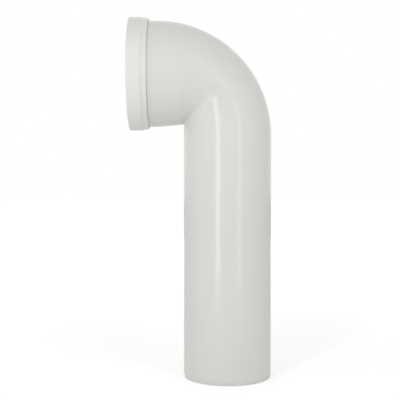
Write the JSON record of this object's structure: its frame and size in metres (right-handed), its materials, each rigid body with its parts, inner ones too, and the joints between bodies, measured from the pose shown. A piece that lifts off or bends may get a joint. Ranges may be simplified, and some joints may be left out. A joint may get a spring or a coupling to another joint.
{
  "type": "long toilet pan connector",
  "caption": "Right-angled toilet pan connector: socket with clamped lip seal and snap ring, smooth bend and a long straight tail for a soil pipe.",
  "frame": {"origin": "centre of the tail's open end, in the plane of its rim", "axes": "+Z along the tail's axis towards the bend, -X out of the socket's mouth, and the part is symmetrical about the plane Y = 0"},
  "size_m": [0.1777, 0.1412, 0.4524],
  "materials": {
    "body_plastic": "satin moulded off-white plastic",
    "ring_plastic": "satin moulded off-white plastic",
    "seal_rubber": "matte dark rubber"
  },
  "bodies": {
    "root": {"connector_body": "body_plastic", "retaining_ring": "ring_plastic", "lip_seal": "seal_rubber"}
  },
  "joints": []
}
